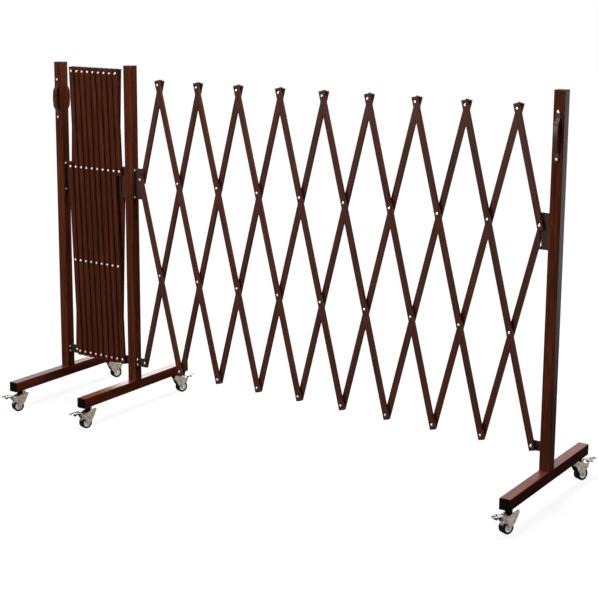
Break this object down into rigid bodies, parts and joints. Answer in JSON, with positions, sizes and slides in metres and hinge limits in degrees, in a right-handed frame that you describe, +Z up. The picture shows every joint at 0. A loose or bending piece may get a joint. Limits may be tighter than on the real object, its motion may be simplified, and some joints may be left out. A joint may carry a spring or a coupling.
{
  "type": "accordion gate",
  "caption": "Free-standing folding barrier: two scissor panels of slats between posts on T-feet with braked swivel casters, one panel folded and one pulled out.",
  "frame": {"origin": "on the floor, midway between the two end posts and midway between the front and back casters", "axes": "+X along the gate towards the pulled-out panel, +Y away from the gate's front, +Z up"},
  "size_m": [2.0352, 0.6571, 1.262],
  "materials": {
    "brown_tube": "dark wood-grain coating, satin",
    "brown_slat": "dark wood-grain coating, satin",
    "brown_handle": "dark brown, satin",
    "plated_steel": "nickel plated",
    "wheel": "black tyre on a pale hub"
  },
  "bodies": {
    "middle_frame": {"middle_post": "brown_tube", "middle_foot": "brown_tube"},
    "left_frame": {"left_post": "brown_tube", "left_foot": "brown_tube", "left_handles": "brown_handle"},
    "right_frame": {"right_post": "brown_tube", "right_foot": "brown_tube", "right_handles": "brown_handle"},
    "right_front_slat_1": {"right_front_slat_1": "brown_slat"},
    "right_back_slat_1": {"right_back_slat_1": "brown_slat"},
    "right_front_slat_2": {"right_front_slat_2": "brown_slat"},
    "right_back_slat_2": {"right_back_slat_2": "brown_slat"},
    "right_front_slat_3": {"right_front_slat_3": "brown_slat"},
    "right_back_slat_3": {"right_back_slat_3": "brown_slat"},
    "right_front_slat_4": {"right_front_slat_4": "brown_slat"},
    "right_back_slat_4": {"right_back_slat_4": "brown_slat"},
    "right_front_slat_5": {"right_front_slat_5": "brown_slat"},
    "right_back_slat_5": {"right_back_slat_5": "brown_slat"},
    "right_front_slat_6": {"right_front_slat_6": "brown_slat"},
    "right_back_slat_6": {"right_back_slat_6": "brown_slat"},
    "right_front_slat_7": {"right_front_slat_7": "brown_slat"},
    "right_back_slat_7": {"right_back_slat_7": "brown_slat"},
    "right_front_slat_8": {"right_front_slat_8": "brown_slat"},
    "right_back_slat_8": {"right_back_slat_8": "brown_slat"},
    "right_front_slat_9": {"right_front_slat_9": "brown_slat"},
    "right_back_slat_9": {"right_back_slat_9": "brown_slat"},
    "right_front_slat_10": {"right_front_slat_10": "brown_slat"},
    "right_back_slat_10": {"right_back_slat_10": "brown_slat"},
    "left_back_slat_1": {"left_back_slat_1": "brown_slat"},
    "left_front_slat_1": {"left_front_slat_1": "brown_slat"},
    "left_back_slat_2": {"left_back_slat_2": "brown_slat"},
    "left_front_slat_2": {"left_front_slat_2": "brown_slat"},
    "left_back_slat_3": {"left_back_slat_3": "brown_slat"},
    "left_front_slat_3": {"left_front_slat_3": "brown_slat"},
    "left_back_slat_4": {"left_back_slat_4": "brown_slat"},
    "left_front_slat_4": {"left_front_slat_4": "brown_slat"},
    "left_back_slat_5": {"left_back_slat_5": "brown_slat"},
    "left_front_slat_5": {"left_front_slat_5": "brown_slat"},
    "left_back_slat_6": {"left_back_slat_6": "brown_slat"},
    "left_front_slat_6": {"left_front_slat_6": "brown_slat"},
    "left_back_slat_7": {"left_back_slat_7": "brown_slat"},
    "left_front_slat_7": {"left_front_slat_7": "brown_slat"},
    "left_back_slat_8": {"left_back_slat_8": "brown_slat"},
    "left_front_slat_8": {"left_front_slat_8": "brown_slat"},
    "left_back_slat_9": {"left_back_slat_9": "brown_slat"},
    "left_front_slat_9": {"left_front_slat_9": "brown_slat"},
    "left_back_slat_10": {"left_back_slat_10": "brown_slat"},
    "left_front_slat_10": {"left_front_slat_10": "brown_slat"},
    "left_front_caster": {"left_front_caster_fork": "plated_steel"},
    "left_front_wheel": {"left_front_wheel": "wheel"},
    "left_back_caster": {"left_back_caster_fork": "plated_steel"},
    "left_back_wheel": {"left_back_wheel": "wheel"},
    "middle_front_caster": {"middle_front_caster_fork": "plated_steel"},
    "middle_front_wheel": {"middle_front_wheel": "wheel"},
    "middle_back_caster": {"middle_back_caster_fork": "plated_steel"},
    "middle_back_wheel": {"middle_back_wheel": "wheel"},
    "right_front_caster": {"right_front_caster_fork": "plated_steel"},
    "right_front_wheel": {"right_front_wheel": "wheel"},
    "right_back_caster": {"right_back_caster_fork": "plated_steel"},
    "right_back_wheel": {"right_back_wheel": "wheel"}
  },
  "joints": [
    {"name": "right_panel_fold", "type": "hinge", "parent": "middle_frame", "child": "right_back_slat_2", "pos_m": [-0.60071, 0, 0.182], "axis": [0, 1, 0], "range_deg": [-11.95, 13.9]},
    {"name": "right_front_slat_3_pivot", "type": "hinge", "parent": "right_back_slat_2", "child": "right_front_slat_3", "pos_m": [-0.34492, 0, 1.20037], "axis": [0, 1, 0], "range_deg": [-27.81, 23.91]},
    {"name": "right_back_slat_5_pivot", "type": "hinge", "parent": "right_front_slat_3", "child": "right_back_slat_5", "pos_m": [-0.08912, 0, 0.182], "axis": [0, 1, 0], "range_deg": [-23.91, 27.81]},
    {"name": "right_front_slat_6_pivot", "type": "hinge", "parent": "right_back_slat_5", "child": "right_front_slat_6", "pos_m": [0.16667, 0, 1.20037], "axis": [0, 1, 0], "range_deg": [-27.81, 23.91]},
    {"name": "right_back_slat_8_pivot", "type": "hinge", "parent": "right_front_slat_6", "child": "right_back_slat_8", "pos_m": [0.42247, 0, 0.182], "axis": [0, 1, 0], "range_deg": [-23.91, 27.81]},
    {"name": "right_front_slat_9_pivot", "type": "hinge", "parent": "right_back_slat_8", "child": "right_front_slat_9", "pos_m": [0.67827, 0, 1.20037], "axis": [0, 1, 0], "range_deg": [-27.81, 23.91]},
    {"name": "right_frame_pivot", "type": "hinge", "parent": "right_front_slat_9", "child": "right_frame", "pos_m": [0.93406, 0, 0.182], "axis": [0, 1, 0], "range_deg": [-11.96, 13.91]},
    {"name": "right_front_slat_1_pivot", "type": "hinge", "parent": "right_back_slat_2", "child": "right_front_slat_1", "pos_m": [-0.51545, 0, 0.52146], "axis": [0, 1, 0], "range_deg": [-27.81, 23.91]},
    {"name": "right_front_slat_2_pivot", "type": "hinge", "parent": "right_back_slat_2", "child": "right_front_slat_2", "pos_m": [-0.43018, 0, 0.86091], "axis": [0, 1, 0], "range_deg": [-27.81, 23.91]},
    {"name": "right_back_slat_1_pivot", "type": "hinge", "parent": "right_front_slat_2", "child": "right_back_slat_1", "pos_m": [-0.51545, 0, 1.20037], "axis": [0, 1, 0], "range_deg": [-23.91, 27.81]},
    {"name": "right_back_slat_3_pivot", "type": "hinge", "parent": "right_front_slat_3", "child": "right_back_slat_3", "pos_m": [-0.25965, 0, 0.86091], "axis": [0, 1, 0], "range_deg": [-23.91, 27.81]},
    {"name": "right_back_slat_4_pivot", "type": "hinge", "parent": "right_front_slat_3", "child": "right_back_slat_4", "pos_m": [-0.17439, 0, 0.52146], "axis": [0, 1, 0], "range_deg": [-23.91, 27.81]},
    {"name": "right_front_slat_4_pivot", "type": "hinge", "parent": "right_back_slat_5", "child": "right_front_slat_4", "pos_m": [-0.00386, 0, 0.52146], "axis": [0, 1, 0], "range_deg": [-27.81, 23.91]},
    {"name": "right_front_slat_5_pivot", "type": "hinge", "parent": "right_back_slat_5", "child": "right_front_slat_5", "pos_m": [0.08141, 0, 0.86091], "axis": [0, 1, 0], "range_deg": [-27.81, 23.91]},
    {"name": "right_back_slat_6_pivot", "type": "hinge", "parent": "right_front_slat_6", "child": "right_back_slat_6", "pos_m": [0.25194, 0, 0.86091], "axis": [0, 1, 0], "range_deg": [-23.91, 27.81]},
    {"name": "right_back_slat_7_pivot", "type": "hinge", "parent": "right_front_slat_6", "child": "right_back_slat_7", "pos_m": [0.33721, 0, 0.52146], "axis": [0, 1, 0], "range_deg": [-23.91, 27.81]},
    {"name": "right_front_slat_7_pivot", "type": "hinge", "parent": "right_back_slat_8", "child": "right_front_slat_7", "pos_m": [0.50774, 0, 0.52146], "axis": [0, 1, 0], "range_deg": [-27.81, 23.91]},
    {"name": "right_front_slat_8_pivot", "type": "hinge", "parent": "right_back_slat_8", "child": "right_front_slat_8", "pos_m": [0.593, 0, 0.86091], "axis": [0, 1, 0], "range_deg": [-27.81, 23.91]},
    {"name": "right_back_slat_9_pivot", "type": "hinge", "parent": "right_front_slat_9", "child": "right_back_slat_9", "pos_m": [0.76353, 0, 0.86091], "axis": [0, 1, 0], "range_deg": [-23.91, 27.81]},
    {"name": "right_back_slat_10_pivot", "type": "hinge", "parent": "right_front_slat_9", "child": "right_back_slat_10", "pos_m": [0.8488, 0, 0.52146], "axis": [0, 1, 0], "range_deg": [-23.91, 27.81]},
    {"name": "right_front_slat_10_pivot", "type": "hinge", "parent": "right_back_slat_10", "child": "right_front_slat_10", "pos_m": [0.93406, 0, 0.86091], "axis": [0, 1, 0], "range_deg": [-27.81, 23.91]},
    {"name": "left_panel_fold", "type": "hinge", "parent": "middle_frame", "child": "left_front_slat_2", "pos_m": [-0.69771, 0, 0.182], "axis": [0, -1, 0], "range_deg": [0, 25.85]},
    {"name": "left_back_slat_3_pivot", "type": "hinge", "parent": "left_front_slat_2", "child": "left_back_slat_3", "pos_m": [-0.7371, 0, 1.23126], "axis": [0, -1, 0], "range_deg": [-51.71, 0.01]},
    {"name": "left_front_slat_5_pivot", "type": "hinge", "parent": "left_back_slat_3", "child": "left_front_slat_5", "pos_m": [-0.7765, 0, 0.182], "axis": [0, -1, 0], "range_deg": [-0.01, 51.71]},
    {"name": "left_back_slat_6_pivot", "type": "hinge", "parent": "left_front_slat_5", "child": "left_back_slat_6", "pos_m": [-0.81589, 0, 1.23126], "axis": [0, -1, 0], "range_deg": [-51.71, 0.01]},
    {"name": "left_front_slat_8_pivot", "type": "hinge", "parent": "left_back_slat_6", "child": "left_front_slat_8", "pos_m": [-0.85528, 0, 0.182], "axis": [0, -1, 0], "range_deg": [-0.01, 51.71]},
    {"name": "left_back_slat_9_pivot", "type": "hinge", "parent": "left_front_slat_8", "child": "left_back_slat_9", "pos_m": [-0.89467, 0, 1.23126], "axis": [0, -1, 0], "range_deg": [-51.71, 0.01]},
    {"name": "left_frame_pivot", "type": "hinge", "parent": "left_back_slat_9", "child": "left_frame", "pos_m": [-0.93406, 0, 0.182], "axis": [0, -1, 0], "range_deg": [-0.01, 25.86]},
    {"name": "left_back_slat_1_pivot", "type": "hinge", "parent": "left_front_slat_2", "child": "left_back_slat_1", "pos_m": [-0.71084, 0, 0.53175], "axis": [0, -1, 0], "range_deg": [-51.71, 0.01]},
    {"name": "left_back_slat_2_pivot", "type": "hinge", "parent": "left_front_slat_2", "child": "left_back_slat_2", "pos_m": [-0.72397, 0, 0.88151], "axis": [0, -1, 0], "range_deg": [-51.71, 0.01]},
    {"name": "left_front_slat_1_pivot", "type": "hinge", "parent": "left_back_slat_2", "child": "left_front_slat_1", "pos_m": [-0.71084, 0, 1.23126], "axis": [0, -1, 0], "range_deg": [-0.01, 51.71]},
    {"name": "left_front_slat_3_pivot", "type": "hinge", "parent": "left_back_slat_3", "child": "left_front_slat_3", "pos_m": [-0.75023, 0, 0.88151], "axis": [0, -1, 0], "range_deg": [-0.01, 51.71]},
    {"name": "left_front_slat_4_pivot", "type": "hinge", "parent": "left_back_slat_3", "child": "left_front_slat_4", "pos_m": [-0.76337, 0, 0.53175], "axis": [0, -1, 0], "range_deg": [-0.01, 51.71]},
    {"name": "left_back_slat_4_pivot", "type": "hinge", "parent": "left_front_slat_5", "child": "left_back_slat_4", "pos_m": [-0.78963, 0, 0.53175], "axis": [0, -1, 0], "range_deg": [-51.71, 0.01]},
    {"name": "left_back_slat_5_pivot", "type": "hinge", "parent": "left_front_slat_5", "child": "left_back_slat_5", "pos_m": [-0.80276, 0, 0.88151], "axis": [0, -1, 0], "range_deg": [-51.71, 0.01]},
    {"name": "left_front_slat_6_pivot", "type": "hinge", "parent": "left_back_slat_6", "child": "left_front_slat_6", "pos_m": [-0.82902, 0, 0.88151], "axis": [0, -1, 0], "range_deg": [-0.01, 51.71]},
    {"name": "left_front_slat_7_pivot", "type": "hinge", "parent": "left_back_slat_6", "child": "left_front_slat_7", "pos_m": [-0.84215, 0, 0.53175], "axis": [0, -1, 0], "range_deg": [-0.01, 51.71]},
    {"name": "left_back_slat_7_pivot", "type": "hinge", "parent": "left_front_slat_8", "child": "left_back_slat_7", "pos_m": [-0.86841, 0, 0.53175], "axis": [0, -1, 0], "range_deg": [-51.71, 0.01]},
    {"name": "left_back_slat_8_pivot", "type": "hinge", "parent": "left_front_slat_8", "child": "left_back_slat_8", "pos_m": [-0.88154, 0, 0.88151], "axis": [0, -1, 0], "range_deg": [-51.71, 0.01]},
    {"name": "left_front_slat_9_pivot", "type": "hinge", "parent": "left_back_slat_9", "child": "left_front_slat_9", "pos_m": [-0.9078, 0, 0.88151], "axis": [0, -1, 0], "range_deg": [-0.01, 51.71]},
    {"name": "left_front_slat_10_pivot", "type": "hinge", "parent": "left_back_slat_9", "child": "left_front_slat_10", "pos_m": [-0.92093, 0, 0.53175], "axis": [0, -1, 0], "range_deg": [-0.01, 51.71]},
    {"name": "left_back_slat_10_pivot", "type": "hinge", "parent": "left_front_slat_10", "child": "left_back_slat_10", "pos_m": [-0.93406, 0, 0.88151], "axis": [0, -1, 0], "range_deg": [-51.71, 0.01]},
    {"name": "left_front_swivel", "type": "hinge", "parent": "left_frame", "child": "left_front_caster", "pos_m": [-0.98256, -0.256, 0.078], "axis": [0, 0, 1], "continuous": true},
    {"name": "left_front_wheel_spin", "type": "hinge", "parent": "left_front_caster", "child": "left_front_wheel", "pos_m": [-0.98663, -0.26514, 0.02], "axis": [0.9135, -0.4067, 0], "continuous": true},
    {"name": "left_back_swivel", "type": "hinge", "parent": "left_frame", "child": "left_back_caster", "pos_m": [-0.98256, 0.256, 0.078], "axis": [0, 0, 1], "continuous": true},
    {"name": "left_back_wheel_spin", "type": "hinge", "parent": "left_back_caster", "child": "left_back_wheel", "pos_m": [-0.97882, 0.26527, 0.02], "axis": [-0.9272, 0.3746, 0], "continuous": true},
    {"name": "middle_front_swivel", "type": "hinge", "parent": "middle_frame", "child": "middle_front_caster", "pos_m": [-0.64921, -0.256, 0.078], "axis": [0, 0, 1], "continuous": true},
    {"name": "middle_front_wheel_spin", "type": "hinge", "parent": "middle_front_caster", "child": "middle_front_wheel", "pos_m": [-0.65197, -0.26561, 0.02], "axis": [0.9613, -0.2756, 0], "continuous": true},
    {"name": "middle_back_swivel", "type": "hinge", "parent": "middle_frame", "child": "middle_back_caster", "pos_m": [-0.64921, 0.256, 0.078], "axis": [0, 0, 1], "continuous": true},
    {"name": "middle_back_wheel_spin", "type": "hinge", "parent": "middle_back_caster", "child": "middle_back_wheel", "pos_m": [-0.64579, 0.2654, 0.02], "axis": [-0.9397, 0.342, 0], "continuous": true},
    {"name": "right_front_swivel", "type": "hinge", "parent": "right_frame", "child": "right_front_caster", "pos_m": [0.98256, -0.256, 0.078], "axis": [0, 0, 1], "continuous": true},
    {"name": "right_front_wheel_spin", "type": "hinge", "parent": "right_front_caster", "child": "right_front_wheel", "pos_m": [0.97882, -0.26527, 0.02], "axis": [0.9272, -0.3746, 0], "continuous": true},
    {"name": "right_back_swivel", "type": "hinge", "parent": "right_frame", "child": "right_back_caster", "pos_m": [0.98256, 0.256, 0.078], "axis": [0, 0, 1], "continuous": true},
    {"name": "right_back_wheel_spin", "type": "hinge", "parent": "right_back_caster", "child": "right_back_wheel", "pos_m": [0.98663, 0.26514, 0.02], "axis": [-0.9135, 0.4067, 0], "continuous": true}
  ],
  "couplings": [
    {"joint": "right_front_slat_3_pivot", "follows": "right_panel_fold", "ratio": -2},
    {"joint": "right_back_slat_5_pivot", "follows": "right_panel_fold", "ratio": 2},
    {"joint": "right_front_slat_6_pivot", "follows": "right_panel_fold", "ratio": -2},
    {"joint": "right_back_slat_8_pivot", "follows": "right_panel_fold", "ratio": 2},
    {"joint": "right_front_slat_9_pivot", "follows": "right_panel_fold", "ratio": -2},
    {"joint": "right_frame_pivot", "follows": "right_panel_fold", "ratio": 1},
    {"joint": "right_front_slat_1_pivot", "follows": "right_panel_fold", "ratio": -2},
    {"joint": "right_front_slat_2_pivot", "follows": "right_panel_fold", "ratio": -2},
    {"joint": "right_back_slat_1_pivot", "follows": "right_panel_fold", "ratio": 2},
    {"joint": "right_back_slat_3_pivot", "follows": "right_panel_fold", "ratio": 2},
    {"joint": "right_back_slat_4_pivot", "follows": "right_panel_fold", "ratio": 2},
    {"joint": "right_front_slat_4_pivot", "follows": "right_panel_fold", "ratio": -2},
    {"joint": "right_front_slat_5_pivot", "follows": "right_panel_fold", "ratio": -2},
    {"joint": "right_back_slat_6_pivot", "follows": "right_panel_fold", "ratio": 2},
    {"joint": "right_back_slat_7_pivot", "follows": "right_panel_fold", "ratio": 2},
    {"joint": "right_front_slat_7_pivot", "follows": "right_panel_fold", "ratio": -2},
    {"joint": "right_front_slat_8_pivot", "follows": "right_panel_fold", "ratio": -2},
    {"joint": "right_back_slat_9_pivot", "follows": "right_panel_fold", "ratio": 2},
    {"joint": "right_back_slat_10_pivot", "follows": "right_panel_fold", "ratio": 2},
    {"joint": "right_front_slat_10_pivot", "follows": "right_panel_fold", "ratio": -2},
    {"joint": "left_back_slat_3_pivot", "follows": "left_panel_fold", "ratio": -2},
    {"joint": "left_front_slat_5_pivot", "follows": "left_panel_fold", "ratio": 2},
    {"joint": "left_back_slat_6_pivot", "follows": "left_panel_fold", "ratio": -2},
    {"joint": "left_front_slat_8_pivot", "follows": "left_panel_fold", "ratio": 2},
    {"joint": "left_back_slat_9_pivot", "follows": "left_panel_fold", "ratio": -2},
    {"joint": "left_frame_pivot", "follows": "left_panel_fold", "ratio": 1},
    {"joint": "left_back_slat_1_pivot", "follows": "left_panel_fold", "ratio": -2},
    {"joint": "left_back_slat_2_pivot", "follows": "left_panel_fold", "ratio": -2},
    {"joint": "left_front_slat_1_pivot", "follows": "left_panel_fold", "ratio": 2},
    {"joint": "left_front_slat_3_pivot", "follows": "left_panel_fold", "ratio": 2},
    {"joint": "left_front_slat_4_pivot", "follows": "left_panel_fold", "ratio": 2},
    {"joint": "left_back_slat_4_pivot", "follows": "left_panel_fold", "ratio": -2},
    {"joint": "left_back_slat_5_pivot", "follows": "left_panel_fold", "ratio": -2},
    {"joint": "left_front_slat_6_pivot", "follows": "left_panel_fold", "ratio": 2},
    {"joint": "left_front_slat_7_pivot", "follows": "left_panel_fold", "ratio": 2},
    {"joint": "left_back_slat_7_pivot", "follows": "left_panel_fold", "ratio": -2},
    {"joint": "left_back_slat_8_pivot", "follows": "left_panel_fold", "ratio": -2},
    {"joint": "left_front_slat_9_pivot", "follows": "left_panel_fold", "ratio": 2},
    {"joint": "left_front_slat_10_pivot", "follows": "left_panel_fold", "ratio": 2},
    {"joint": "left_back_slat_10_pivot", "follows": "left_panel_fold", "ratio": -2}
  ]
}
